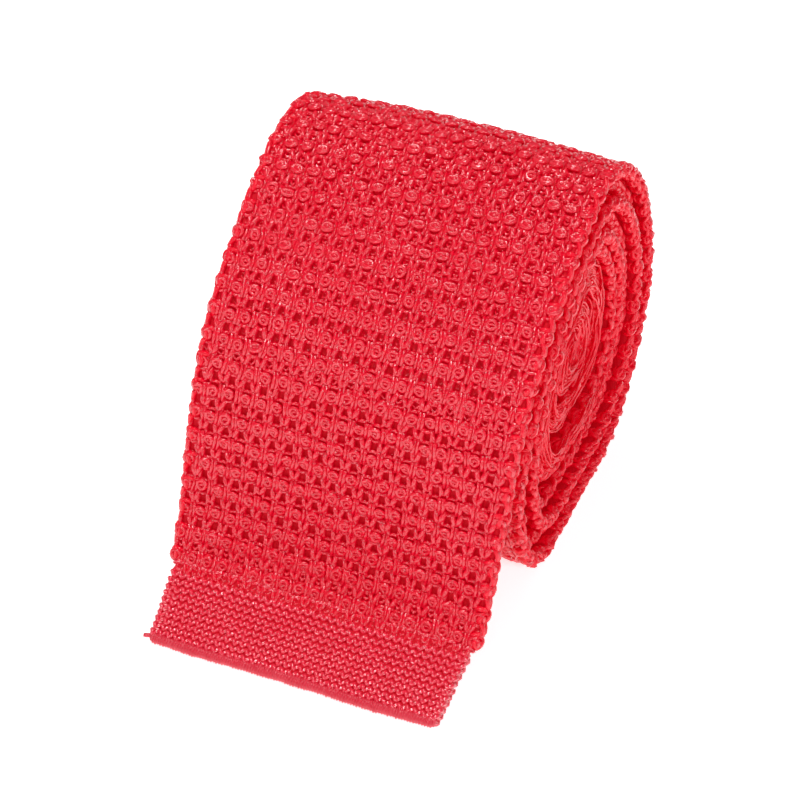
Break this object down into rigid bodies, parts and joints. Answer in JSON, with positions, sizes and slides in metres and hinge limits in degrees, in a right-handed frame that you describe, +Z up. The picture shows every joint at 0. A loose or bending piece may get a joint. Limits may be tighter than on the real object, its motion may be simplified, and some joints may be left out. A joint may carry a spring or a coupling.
{
  "type": "knit necktie",
  "caption": "Square-ended knit necktie, folded in half and rolled up, with its plain-banded wide end lying out in front as a flap.",
  "frame": {"origin": "middle of the footprint, on the surface that the rolled tie lies on", "axes": "+X across the tie's width, +Y from the free end towards the back of the roll, +Z up"},
  "size_m": [0.0604, 0.1008, 0.0675],
  "materials": {
    "open_knit": "open tuck-stitch knit in a smooth, slightly glossy red yarn",
    "plain_knit": "fine plain knit in the same red yarn"
  },
  "bodies": {
    "root": {"body": "open_knit", "front_band": "plain_knit", "back_band": "plain_knit"}
  },
  "joints": []
}
